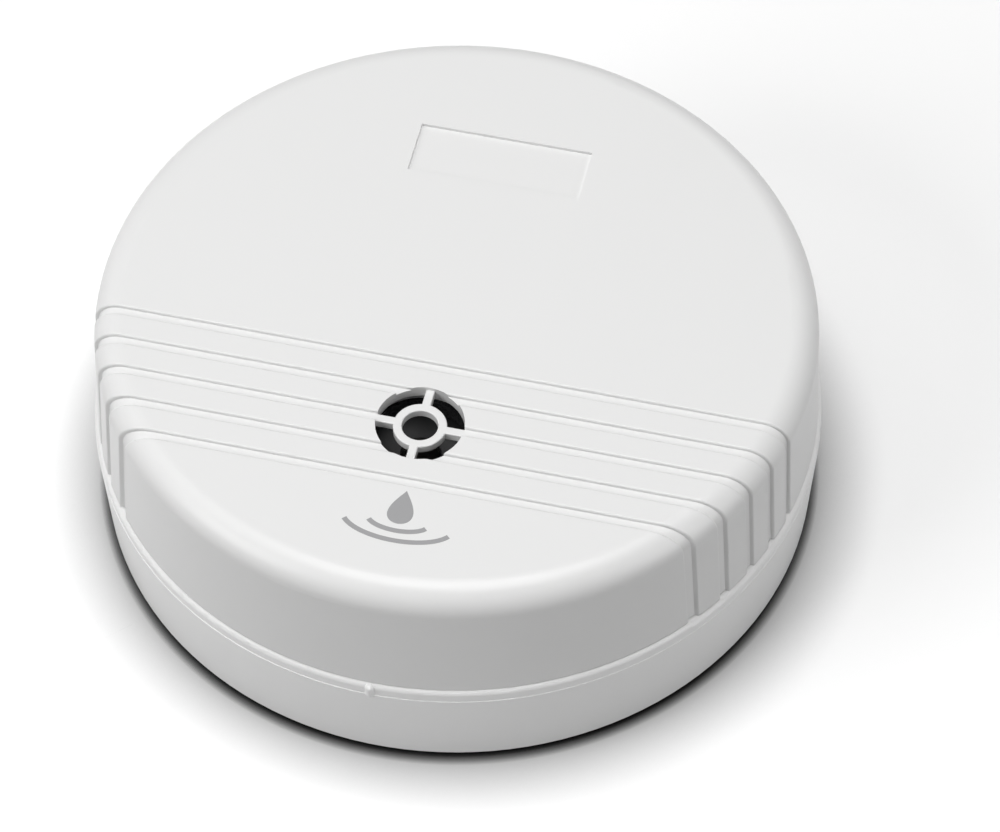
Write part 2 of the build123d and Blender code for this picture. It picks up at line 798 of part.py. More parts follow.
def make_coil():
    """Step-up coil in a shrunk sleeve, with the end of its core showing."""
    body = disc(coil_diameter / 2, board_top + standoff, board_top + coil_height, coil_place)
    body = fillet([top_edge(body), bottom_edge(body)], coil_round)
    return body - disc(coil_diameter / 2 - 2 * coil_round, board_top + coil_height - coil_round / 2,
                       board_top + coil_height + overrun, coil_place)


def make_capacitor():
    """Can with a rounded shoulder and a cross-shaped vent in its top."""
    top = board_top + standoff + capacitor_height
    body = disc(capacitor_diameter / 2, board_top + standoff, top, capacitor_place)
    body = fillet(top_edge(body), capacitor_round)
    return body - spoke_cross(capacitor_place, capacitor_diameter / 3, capacitor_vent_width,
                              top - capacitor_vent_depth, top + overrun)


def make_transistor():
    """Half-round body standing on its three legs."""
    x, y = transistor_place
    low = board_top + transistor_standoff
    body = disc(transistor_diameter / 2, low, low + transistor_height, transistor_place)
    radius = transistor_diameter / 2
    return body & block(x - radius, x + radius, y - transistor_flat, y + radius, low, low + transistor_height)


def make_transistor_legs():
    half = transistor_leg_width / 2
    return [block(x - half, x + half, y - half, y + half, tail_level, board_top + transistor_standoff)
            for x, y in transistor_spots()]


def laid(shape, place, level):
    """Set a part that was made along X at its place on the board."""
    x, y, turn = place
    return Pos(x, y, level) * Rot(0, 0, turn) * shape


def make_resistor():
    """Resistor body along X: a waist between two thicker caps."""
    half = resistor_length / 2
    body = Rot(0, 90, 0) * Cylinder(resistor_waist / 2, resistor_length)
    for side in (-1, 1):
        cap = Rot(0, 90, 0) * Cylinder(resistor_diameter / 2, resistor_cap_length)
        cap = fillet(cap.edges().filter_by(GeomType.CIRCLE), resistor_diameter / 6)
        body += Pos(side * (half - resistor_cap_length / 2), 0, 0) * cap
    return body


def bent_legs(body_length, span, level):
    """Two wires, each out of one end of a lying part and down through the board."""
    legs = []
    for side in (-1, 1):
        bend = (side * span / 2, 0, 0)
        points = [(side * body_length / 2, 0, 0), bend, (side * span / 2, 0, tail_level - level)]
        path = FilletPolyline(*points, radius=wire_bend)
        legs.append(sweep(Plane(origin=path @ 0, z_dir=path % 0) * Circle(wire_leg_diameter / 2), path=path))
    return legs


def make_ceramic(place):
    """Disc capacitor standing on edge, its coating drawn down around both legs."""
    x, y = place
    level = board_top + standoff + ceramic_body_diameter / 2
    body = Rot(90, 0, 0) * Cylinder(ceramic_body_diameter / 2, ceramic_body_thickness)
    body = fillet(body.edges().filter_by(GeomType.CIRCLE), ceramic_body_thickness / 3)
    return Pos(x, y, level) * body


def make_ceramic_legs():
    """Legs that end in a flat against the lower edge of each disc."""
    legs = []
    for x, y in ceramic_places:
        body = make_ceramic((x, y))
        for side in (-1, 1):
            spot = (x + side * ceramic_leg_spacing / 2, y)
            level = board_top + standoff + ceramic_body_diameter / 2
            legs.append(disc(wire_leg_diameter / 2, tail_level, level, spot) - body)
    return legs


def make_sounder_case():
    """Round cup with a ledge that carries the piezo disc."""
    low, high = board_top, board_top + sounder_height
    outer, upper = sounder_diameter / 2, sounder_diameter / 2 - sounder_wall
    lower = upper - disc_ledge_width
    body = disc(outer, low, high, grille_centre)
    body -= disc(lower, low + sounder_floor, high, grille_centre)
    return body - disc(upper, low + disc_level, high + overrun, grille_centre)


def make_sounder_cap():
    """Lid with a short skirt inside the cup and a sound hole under the grille."""
    low = board_top + sounder_height
    bore = sounder_diameter / 2 - sounder_wall
    lid = disc(sounder_diameter / 2, low, low + sounder_cap_thickness, grille_centre)
    lid = fillet(top_edge(lid), sounder_cap_thickness / 3)
    skirt_low = low - sounder_cap_skirt
    lid += ring(bore - sounder_cap_fit, bore - sounder_wall, skirt_low, low + weld, grille_centre)
    hole_top = low + sounder_cap_thickness + overrun
    return lid - disc(sound_hole_diameter / 2, low - overrun, hole_top, grille_centre)


def make_piezo():
    """Brass disc on the ledge and the ceramic layer on top of it."""
    low = board_top + disc_level
    radius = sounder_diameter / 2 - sounder_wall - disc_clearance
    brass = disc(radius, low, low + disc_thickness, grille_centre)
    ceramic = disc(ceramic_diameter / 2, low + disc_thickness, low + disc_thickness + ceramic_thickness,
                   grille_centre)
    return brass, ceramic


def make_foam_ring():
    """Ring between the sounder's cap and the cover's collar."""
    low = board_top + sounder_height + sounder_cap_thickness
    high = ceiling - collar_height - foam_clearance
    return ring(foam_outer / 2, foam_outer / 2 - foam_wall, low, high, grille_centre)


def main():
    piezo_disc, piezo_ceramic = make_piezo()
    battery_stud, battery_socket = make_battery_terminals()
    clip_socket, clip_stud = make_clip_terminals()
    resistor, resistor_level = make_resistor(), board_top + resistor_diameter / 2
    diode = Rot(0, 90, 0) * Cylinder(diode_diameter / 2, diode_length)
    diode = fillet(diode.edges().filter_by(GeomType.CIRCLE), diode_diameter / 6)
    diode_level = board_top + diode_diameter / 2
    resistor_legs = bent_legs(resistor_length, resistor_span, resistor_level)
    diode_legs = bent_legs(diode_length, diode_span, diode_level)
    pad_middle = (battery_start + battery_end) / 2
    nodes = {
        "top_cover": make_cover(),
        "base_housing": make_base(),
        "sensor_contacts": make_contacts(),
        "contact_seals": make_seals(),
        "contact_washers": make_washers(),
        "contact_nuts": make_nuts(),
        "board_spacers": make_spacers(),
        "ring_terminals": make_ring_terminals(),
        "right_sensor_lead": sensor_lead("right sensor lead", rear_contacts[0], lead_pads[0]),
        "left_sensor_lead": sensor_lead("left sensor lead", rear_contacts[1], lead_pads[1]),
        "circuit_board": make_board(),
        "board_screws": make_board_screws(),
        "alarm_chip": make_chip(),
        "alarm_chip_legs": make_chip_legs(),
        "boost_coil": make_coil(),
        "boost_coil_pins": pins(coil_spots(), coil_pin_diameter, board_top + standoff),
        "electrolytic_capacitor": make_capacitor(),
        "electrolytic_capacitor_legs": pins(capacitor_spots(), wire_leg_diameter, board_top + standoff),
        "transistor": make_transistor(),
        "transistor_legs": make_transistor_legs(),
        "resistors": [laid(resistor, place, resistor_level) for place in resistor_places],
        "resistor_legs": [laid(leg, place, resistor_level)
                          for place in resistor_places for leg in resistor_legs],
        "diodes": [laid(diode, place, diode_level) for place in diode_places],
        "diode_legs": [laid(leg, place, diode_level) for place in diode_places for leg in diode_legs],
        "ceramic_capacitors": [make_ceramic(place) for place in ceramic_places],
        "ceramic_capacitor_legs": make_ceramic_legs(),
        "sounder_case": make_sounder_case(),
        "sounder_cap": make_sounder_cap(),
        "sounder_pins": pins(sounder_spots(), sounder_pin_diameter, board_top),
        "piezo_disc": piezo_disc,
        "piezo_ceramic": piezo_ceramic,
        "sounder_foam_ring": make_foam_ring(),
        "battery_jacket": make_jacket(),
        "battery_cells": inside_jacket(battery_start + jacket_wall + end_plate_thickness,
                                       plate_face - end_plate_thickness),
        "battery_end_plate": inside_jacket(battery_start + jacket_wall,
                                           battery_start + jacket_wall + end_plate_thickness),
        "battery_terminal_plate": inside_jacket(plate_face - end_plate_thickness, plate_face),
        "battery_stud": battery_stud,
        "battery_socket": battery_socket,
        "battery_pad": block(pad_middle - pad_length / 2, pad_middle + pad_length / 2,
                             battery_line - pad_width / 2, battery_line + pad_width / 2,
                             floor_level, battery_level),
        "clip_plate": make_clip(),
        "clip_socket": clip_socket,
        "clip_stud": clip_stud,
        "red_battery_lead": battery_lead("red lead", battery_lead_spacing / 2, battery_pads[1]),
        "black_battery_lead": battery_lead("black lead", -battery_lead_spacing / 2, battery_pads[0]),
    }
    os.makedirs("parts", exist_ok=True)
    for name, shape in nodes.items():
        if isinstance(shape, list):
            shape = Compound(shape)
        export_step(shape, f"parts/{name}.step")


main()
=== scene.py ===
import bmesh
import bpy
import json
import math
from mathutils import Matrix, Vector


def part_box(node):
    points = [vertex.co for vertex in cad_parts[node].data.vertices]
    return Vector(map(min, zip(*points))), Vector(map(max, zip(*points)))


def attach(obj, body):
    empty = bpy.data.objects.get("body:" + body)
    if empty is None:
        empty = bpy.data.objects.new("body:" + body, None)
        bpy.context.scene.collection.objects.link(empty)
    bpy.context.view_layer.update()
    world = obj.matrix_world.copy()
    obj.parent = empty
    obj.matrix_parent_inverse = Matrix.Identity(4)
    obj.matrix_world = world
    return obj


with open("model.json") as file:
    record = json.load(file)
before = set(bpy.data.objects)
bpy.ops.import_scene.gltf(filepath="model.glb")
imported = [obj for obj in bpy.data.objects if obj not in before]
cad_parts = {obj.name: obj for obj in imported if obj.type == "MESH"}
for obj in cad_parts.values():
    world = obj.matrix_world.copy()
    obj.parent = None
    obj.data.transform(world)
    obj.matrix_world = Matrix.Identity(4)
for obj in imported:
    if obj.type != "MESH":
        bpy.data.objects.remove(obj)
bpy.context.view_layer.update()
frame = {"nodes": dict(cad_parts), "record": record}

# Looks of the water leak alarm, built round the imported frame. Lengths are in metres.
MM = 0.001

# Camera: the direction, distance and aim that fit the outlines in the photograph. Angles are in degrees.
IMAGE_WIDTH_PX = 1000
FOCAL_LENGTH_PX = 4000
SENSOR_WIDTH = 36.0
CAMERA_AZIMUTH = 14.27  # from -Y towards +X
CAMERA_ELEVATION = 53.36
CAMERA_DISTANCE = 505.8 * MM
CAMERA_FOOT_LEVEL = 1.0 * MM
CAMERA_PAN = 0.979
CAMERA_TILT = 0.562
CAMERA_ROLL = -0.295
CLIP_NEAR = 0.01
CLIP_FAR = 20

# Corners and levels of the object that pieces are set on
BOARD_LOW, BOARD_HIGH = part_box("circuit_board")
BATTERY_LOW, BATTERY_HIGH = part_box("battery_jacket")
TOP_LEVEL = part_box("top_cover")[1].z
BOARD_TOP = BOARD_HIGH.z

# Thin printed and laid-on pieces: how far they reach into what carries them, how far ink stands above it, and
# how much higher a stroke stands that crosses another one
SUNK = 0.01 * MM
INK_HEIGHT = 0.012 * MM
INK_STEP = 0.002 * MM

# Sockets of a Mix node that blends colours. Its sockets for numbers and vectors have the same names.
MIX_FACTOR, MIX_FIRST, MIX_SECOND, MIX_RESULT = 0, 6, 7, 2


def linked(data, name):
    """New object of the scene for a mesh, a camera or a light."""
    item = bpy.data.objects.new(name, data)
    bpy.context.scene.collection.objects.link(item)
    return item


def mesh_piece(name, vertices, faces, smooth_angle=None):
    """Object from lists of corners and faces, shaded smooth up to an angle where one is given."""
    mesh = bpy.data.meshes.new(name)
    mesh.from_pydata([tuple(v) for v in vertices], [], faces)
    mesh.validate()
    work = bmesh.new()
    work.from_mesh(mesh)
    bmesh.ops.remove_doubles(work, verts=work.verts, dist=1e-7)
    bmesh.ops.recalc_face_normals(work, faces=work.faces)
    work.to_mesh(mesh)
    work.free()
    piece = linked(mesh, name)
    if smooth_angle is not None:
        mesh.shade_smooth()
        mesh.set_sharp_from_angle(angle=math.radians(smooth_angle))
    return piece


def finish_piece(piece, material, body):
    """Give a new piece its material and its body."""
    piece.data.materials.clear()
    piece.data.materials.append(material)
    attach(piece, body)


class Nodes:
    """A material's node tree with short calls for what the materials here share."""

    def __init__(self, name):
        self.material = bpy.data.materials.new(name)
        self.material.use_nodes = True
        self.tree = self.material.node_tree
        self.shader = self.tree.nodes["Principled BSDF"]
        self.place = self.add("ShaderNodeTexCoord").outputs["Object"]

    def add(self, kind, **settings):
        node = self.tree.nodes.new(kind)
        for key, value in settings.items():
            setattr(node, key, value)
        return node

    def link(self, output, socket):
        self.tree.links.new(output, socket)

    def set(self, **values):
        """Values that are the same all over the surface, on the shader's own sockets."""
        for key, value in values.items():
            self.shader.inputs[key.replace("_", " ")].default_value = value

    def noise(self, size, detail=2.0, roughness=0.5, stretch=(1, 1, 1)):
        """Noise whose features are about a size across, from 0 to 1."""
        mapping = self.add("ShaderNodeMapping")
        mapping.inputs["Scale"].default_value = stretch
        self.link(self.place, mapping.inputs["Vector"])
        node = self.add("ShaderNodeTexNoise")
        node.inputs["Scale"].default_value = 1 / size
        node.inputs["Detail"].default_value = detail
        node.inputs["Roughness"].default_value = roughness
        self.link(mapping.outputs["Vector"], node.inputs["Vector"])
        return node.outputs["Fac"]

    def between(self, factor, low, high, from_low=0.3, from_high=0.7):
        """Number that runs from low to high as a factor does."""
        node = self.add("ShaderNodeMapRange")
        ends = {"From Min": from_low, "From Max": from_high, "To Min": low, "To Max": high}
        for key, value in ends.items():
            node.inputs[key].default_value = value
        self.link(factor, node.inputs["Value"])
        return node.outputs["Result"]

    def blend(self, factor, first, second):
        """Colour that runs from one colour to another as a factor does. Each may be a colour or an output."""
        node = self.add("ShaderNodeMix", data_type="RGBA")
        for socket, value in ((node.inputs[MIX_FIRST], first), (node.inputs[MIX_SECOND], second)):
            if isinstance(value, bpy.types.NodeSocket):
                self.link(value, socket)
            else:
                socket.default_value = (*value, 1)
        self.link(factor, node.inputs[MIX_FACTOR])
        return node.outputs[MIX_RESULT]

    def maths(self, operation, *values):
        """Result of one arithmetic step on numbers or outputs."""
        node = self.add("ShaderNodeMath", operation=operation)
        for socket, value in zip(node.inputs, values):
            if isinstance(value, bpy.types.NodeSocket):
                self.link(value, socket)
            else:
                socket.default_value = value
        return node.outputs[0]

    def wave(self, coordinate, pitch):
        """Sine of a coordinate, from -1 to 1, that repeats at a pitch."""
        return self.maths("SINE", self.maths("MULTIPLY", coordinate, 2 * math.pi / pitch))

    def axes(self):
        """The three object coordinates as outputs."""
        node = self.add("ShaderNodeSeparateXYZ")
        self.link(self.place, node.inputs[0])
        return node.outputs

    def bump(self, heights):
        """Relief from pairs of a height output and its depth, one on top of the other."""
        normal = None
        for height, depth in heights:
            node = self.add("ShaderNodeBump")
            node.inputs["Distance"].default_value = depth
            self.link(height, node.inputs["Height"])
            if normal is not None:
                self.link(normal, node.inputs["Normal"])
            normal = node.outputs["Normal"]
        self.link(normal, self.shader.inputs["Normal"])

    def colour(self, output):
        self.link(output, self.shader.inputs["Base Color"])

    def roughness(self, output):
        self.link(output, self.shader.inputs["Roughness"])


def shade(colour, share):
    """A colour made darker or lighter by a share."""
    return tuple(min(1.0, c * share) for c in colour)


# Plastics, coatings and inks: colour, roughness, size and depth of the grain, how uneven the colour is, and
# the specular level
BAND_PAINT = (0.38, 0.3 * MM, 0.003 * MM, 0.06, 0.5)
MOULDINGS = {
    # Cover and base are the same white plastic: the cover's colour is painted darker (painted shade) and the
    # base's lighter (painted light).
    "cover_plastic_painted_shade": ((0.745, 0.745, 0.742), 0.30, 0.25 * MM, 0.0015 * MM, 0.006, 0.3),
    "base_plastic_painted_light": ((0.885, 0.885, 0.882), 0.34, 0.25 * MM, 0.0015 * MM, 0.006, 0.3),
    "seal_rubber": ((0.02, 0.02, 0.02), 0.62, 0.3 * MM, 0.01 * MM, 0.2, 0.5),
    "chip_epoxy": ((0.022, 0.022, 0.024), 0.58, 0.12 * MM, 0.01 * MM, 0.15, 0.5),
    "shrunk_sleeve": ((0.012, 0.012, 0.014), 0.34, 1.2 * MM, 0.02 * MM, 0.15, 0.5),
    "resistor_lacquer": ((0.62, 0.44, 0.25), 0.40, 0.4 * MM, 0.008 * MM, 0.1, 0.5),
    "diode_glass": ((0.55, 0.16, 0.05), 0.12, 0.5 * MM, 0.002 * MM, 0.1, 0.5),
    "dipped_coating": ((0.60, 0.27, 0.07), 0.34, 0.7 * MM, 0.03 * MM, 0.1, 0.5),
    "sounder_plastic": ((0.014, 0.014, 0.015), 0.46, 0.2 * MM, 0.008 * MM, 0.15, 0.5),
    "silvered_ceramic": ((0.72, 0.71, 0.66), 0.45, 0.3 * MM, 0.004 * MM, 0.08, 0.5),
    "battery_cell_pack": ((0.20, 0.19, 0.18), 0.6, 0.25 * MM, 0.004 * MM, 0.02, 0.5),
    "battery_end_board": ((0.035, 0.030, 0.027), 0.7, 0.3 * MM, 0.015 * MM, 0.2, 0.5),
    "clip_plastic": ((0.018, 0.018, 0.018), 0.5, 0.4 * MM, 0.02 * MM, 0.15, 0.5),
    "grey_print": ((0.30, 0.30, 0.305), 0.5, 0.12 * MM, 0.003 * MM, 0.06, 0.5),
    "white_print": ((0.74, 0.75, 0.73), 0.5, 0.12 * MM, 0.004 * MM, 0.08, 0.5),
    "pale_print": ((0.66, 0.67, 0.68), 0.36, 0.15 * MM, 0.003 * MM, 0.06, 0.5),
    "covered_copper": ((0.06, 0.36, 0.16), 0.30, 0.3 * MM, 0.003 * MM, 0.05, 0.5),
    "brown_band": ((0.13, 0.035, 0.010), *BAND_PAINT),
    "black_band": ((0.012, 0.012, 0.012), *BAND_PAINT),
    "orange_band": ((0.75, 0.20, 0.015), *BAND_PAINT),
    "gold_band": ((0.52, 0.34, 0.08), *BAND_PAINT),
    "cathode_band": ((0.014, 0.014, 0.016), 0.36, 0.3 * MM, 0.003 * MM, 0.06, 0.5),
}


def moulded(name):
    """Injection-moulded plastic or paint: eroded grain, a faint flow pattern, few specks and uneven gloss."""
    flow_size, speck_size, gloss_size, sink_size, sink_depth = 14 * MM, 0.6 * MM, 14 * MM, 9 * MM, 0.02 * MM
    colour, roughness, grain_size, grain_depth, variation, specular = MOULDINGS[name]
    nodes = Nodes(name)
    flow = nodes.noise(flow_size, detail=3, stretch=(1, 0.6, 1))
    specks = nodes.noise(speck_size, detail=4, roughness=0.7)
    tone = nodes.blend(flow, shade(colour, 1 - variation), shade(colour, 1 + variation / 2))
    speck = nodes.between(specks, 0.0, 1.0, from_low=0.68, from_high=0.80)
    nodes.colour(nodes.blend(speck, tone, shade(colour, 1 - 2 * variation)))
    nodes.roughness(nodes.between(nodes.noise(gloss_size, detail=1), roughness * 0.97, roughness * 1.04))
    grain = nodes.noise(grain_size, detail=3, roughness=0.6)
    sink = nodes.noise(sink_size, detail=1)
    nodes.bump([(sink, sink_depth), (grain, grain_depth)])
    nodes.set(Specular_IOR_Level=specular)
    return nodes.material


# Bare metals: colour, roughness and how the tool marks are drawn out along each axis
METALS = {
    "zinc_plating": ((0.42, 0.43, 0.45), 0.34, (1, 1, 14)),
    "turned_brass": ((0.60, 0.43, 0.19), 0.28, (1, 1, 14)),
    "tinned_copper": ((0.50, 0.50, 0.49), 0.32, (1, 1, 14)),
    "solder": ((0.52, 0.53, 0.54), 0.28, (1, 1, 1)),
}


def plated(name):
    """Turned or plated metal: fine tool marks along one direction and a duller, uneven film."""
    film_size, mark_size, mark_depth, wear = 1.2 * MM, 0.4 * MM, 0.004 * MM, 0.12
    colour, roughness, stretch = METALS[name]
    nodes = Nodes(name)
    film = nodes.noise(film_size, detail=4, roughness=0.65)
    marks = nodes.noise(mark_size, detail=3, stretch=stretch)
    nodes.colour(nodes.blend(film, shade(colour, 1 - wear), shade(colour, 1 + wear / 2)))
    nodes.roughness(nodes.between(marks, roughness * 0.8, roughness * 1.35))
    nodes.bump([(marks, mark_depth)])
    nodes.set(Metallic=1.0)
    return nodes.material


def nickel_plating():
    """Plated metal with fine turned rings along Z."""
    colour, roughness = (0.50, 0.48, 0.45), 0.26
    film_size, ring_pitch, ring_depth = 1.0 * MM, 0.5 * MM, 0.02 * MM
    nodes = Nodes("nickel_plating")
    film = nodes.noise(film_size, detail=4)
    nodes.colour(nodes.blend(film, shade(colour, 0.86), shade(colour, 1.04)))
    rings = nodes.wave(nodes.axes()[2], ring_pitch)
    nodes.roughness(nodes.between(film, roughness * 0.8, roughness * 1.3))
    nodes.bump([(rings, ring_depth)])
    nodes.set(Metallic=1.0)
    return nodes.material


def closed_cell_foam():
    """Small dents over a matt surface, with painted shade in the dents."""
    colour = (0.035, 0.035, 0.037)
    cell_size, cell_depth, gloss_size = 0.35 * MM, 0.08 * MM, 2 * MM
    nodes = Nodes("closed_cell_foam")
    cells = nodes.add("ShaderNodeTexVoronoi")
    cells.inputs["Scale"].default_value = 1 / cell_size
    nodes.link(nodes.place, cells.inputs["Vector"])
    dents = cells.outputs["Distance"]
    # Painted shade: the colour is darkest at the bottom of each dent and lightest on the rims between them.
    depth = nodes.between(dents, 0, 1, from_low=0.1, from_high=0.6)
    nodes.colour(nodes.blend(depth, shade(colour, 0.45), shade(colour, 1.5)))
    nodes.roughness(nodes.between(nodes.noise(gloss_size), 0.85, 0.98))
    nodes.bump([(dents, cell_depth)])
    nodes.set(Specular_IOR_Level=0.25)
    return nodes.material


def board_laminate():
    """Green solder resist over faint glass weave, with bare laminate showing at the cut edges."""
    weave_pitch_x, weave_pitch_y, weave_depth = 0.5 * MM, 0.45 * MM, 0.006 * MM
    resist_size, edge_size, gloss_size = 6 * MM, 0.3 * MM, 1.5 * MM
    nodes = Nodes("board_laminate")
    weave_x = nodes.wave(nodes.axes()[0], weave_pitch_x)
    weave_y = nodes.wave(nodes.axes()[1], weave_pitch_y)
    weave = nodes.maths("MULTIPLY", weave_x, weave_y)
    resist = nodes.blend(nodes.noise(resist_size, detail=3), (0.012, 0.13, 0.055), (0.02, 0.18, 0.075))
    threads = nodes.between(weave, 0.0, 0.35, from_low=-1, from_high=1)
    resist = nodes.blend(threads, resist, (0.03, 0.22, 0.10))
    geometry = nodes.add("ShaderNodeNewGeometry")
    upward = nodes.add("ShaderNodeSeparateXYZ")
    nodes.link(geometry.outputs["True Normal"], upward.inputs[0])
    flat = nodes.maths("ABSOLUTE", upward.outputs[2])
    layers = nodes.noise(edge_size, detail=4, stretch=(1, 1, 6))
    edge = nodes.blend(layers, (0.35, 0.36, 0.16), (0.22, 0.26, 0.10))
    nodes.colour(nodes.blend(nodes.between(flat, 0, 1, from_low=0.4, from_high=0.6), edge, resist))
    nodes.roughness(nodes.between(nodes.noise(gloss_size, detail=4), 0.28, 0.42))
    nodes.bump([(weave, weave_depth)])
    return nodes.material


def insulation(name, colour):
    """Wire insulation: smooth plastic with faint extrusion lines and scuffs."""
    scuff_size, line_size, line_depth = 1.8 * MM, 0.25 * MM, 0.006 * MM
    nodes = Nodes(name)
    scuffs = nodes.noise(scuff_size, detail=5, roughness=0.7)
    nodes.colour(nodes.blend(scuffs, shade(colour, 0.82), shade(colour, 1.12)))
    nodes.roughness(nodes.between(scuffs, 0.30, 0.46))
    nodes.bump([(nodes.noise(line_size, detail=3), line_depth)])
    return nodes.material


def battery_print():
    """Printed steel jacket: dark body with a light band towards the terminals, and fine rolled marks."""
    band_start, band_end = BATTERY_HIGH.x - 11 * MM, BATTERY_HIGH.x - 8.5 * MM
    tone_size, gloss_size, mark_size, mark_depth = 3 * MM, 0.9 * MM, 0.7 * MM, 0.006 * MM
    nodes = Nodes("battery_print")
    along = nodes.axes()[0]
    after = nodes.maths("GREATER_THAN", along, band_start)
    before = nodes.maths("LESS_THAN", along, band_end)
    light_band = nodes.maths("MULTIPLY", after, before)
    tone = nodes.noise(tone_size, detail=4)
    body = nodes.blend(tone, (0.030, 0.036, 0.046), (0.040, 0.048, 0.060))
    nodes.colour(nodes.blend(light_band, body, (0.62, 0.63, 0.64)))
    nodes.roughness(nodes.between(nodes.noise(gloss_size, detail=4, stretch=(0.2, 1, 1)), 0.24, 0.36))
    nodes.bump([(nodes.noise(mark_size, detail=2, stretch=(0.15, 1, 1)), mark_depth)])
    nodes.set(Metallic=0.35)
    return nodes.material


def capacitor_sleeve():
    """Dark sleeve with a pale stripe down the negative side, and the bare aluminium end."""
    stripe_half_width, end_radius, end_depth = 0.9 * MM, 2.55 * MM, 0.4 * MM
    film_size, metal_size, gloss_size, dent_size, dent_depth = 2 * MM, 0.5 * MM, 1 * MM, 0.8 * MM, 0.008 * MM
    low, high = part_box("electrolytic_capacitor")
    centre = (low + high) / 2
    nodes = Nodes("capacitor_sleeve")
    x, y, z = nodes.axes()
    across = nodes.maths("SUBTRACT", x, centre.x)
    beside = nodes.maths("SUBTRACT", y, centre.y)
    stripe = nodes.maths("LESS_THAN", nodes.maths("ABSOLUTE", beside), stripe_half_width)
    left = nodes.maths("LESS_THAN", across, 0.0)
    body = nodes.blend(nodes.noise(film_size, detail=3), (0.012, 0.025, 0.085), (0.018, 0.034, 0.11))
    body = nodes.blend(nodes.maths("MULTIPLY", stripe, left), body, (0.55, 0.57, 0.60))
    squares = nodes.maths("ADD", nodes.maths("POWER", across, 2.0), nodes.maths("POWER", beside, 2.0))
    inner = nodes.maths("LESS_THAN", nodes.maths("POWER", squares, 0.5), end_radius)
    end = nodes.maths("MULTIPLY", inner, nodes.maths("GREATER_THAN", z, high.z - end_depth))
    metal = nodes.blend(nodes.noise(metal_size, detail=3), (0.40, 0.41, 0.42), (0.48, 0.48, 0.49))
    nodes.colour(nodes.blend(end, body, metal))
    nodes.link(end, nodes.shader.inputs["Metallic"])
    nodes.roughness(nodes.between(nodes.noise(gloss_size, detail=3), 0.26, 0.38))
    nodes.bump([(nodes.noise(dent_size, detail=2), dent_depth)])
    return nodes.material


def make_materials():
    """One material for each slot of the record."""
    return {
        # The cover gets the white plastic with painted shade, the base the same white plastic with painted
        # light.
        "white_cover": moulded("cover_plastic_painted_shade"),
        "white_base": moulded("base_plastic_painted_light"),
        "nickel": nickel_plating(),
        "zinc": plated("zinc_plating"),
        "brass": plated("turned_brass"),
        "tinned": plated("tinned_copper"),
        "seal": moulded("seal_rubber"),
        "board_green": board_laminate(),
        "chip_black": moulded("chip_epoxy"),
        "sleeve_black": moulded("shrunk_sleeve"),
        "capacitor_blue": capacitor_sleeve(),
        "resistor_tan": moulded("resistor_lacquer"),
        "diode_orange": moulded("diode_glass"),
        "ceramic_ochre": moulded("dipped_coating"),
        "sounder_black": moulded("sounder_plastic"),
        "piezo_white": moulded("silvered_ceramic"),
        "foam": closed_cell_foam(),
        "battery_wrap": battery_print(),
        "battery_core": moulded("battery_cell_pack"),
        "battery_plate": moulded("battery_end_board"),
        "clip_black": moulded("clip_plastic"),
        "lead_red": insulation("red_insulation", (0.52, 0.014, 0.012)),
        "lead_black": insulation("black_insulation", (0.016, 0.016, 0.017)),
        "lead_yellow": insulation("yellow_insulation", (0.74, 0.50, 0.03)),
    }


def dress_nodes(materials):
    """Every CAD node gets the material of its slot."""
    for entry in frame["record"]["subparts"]:
        node = frame["nodes"][entry["node"]]
        node.data.materials.clear()
        node.data.materials.append(materials[entry["material_slot"]])


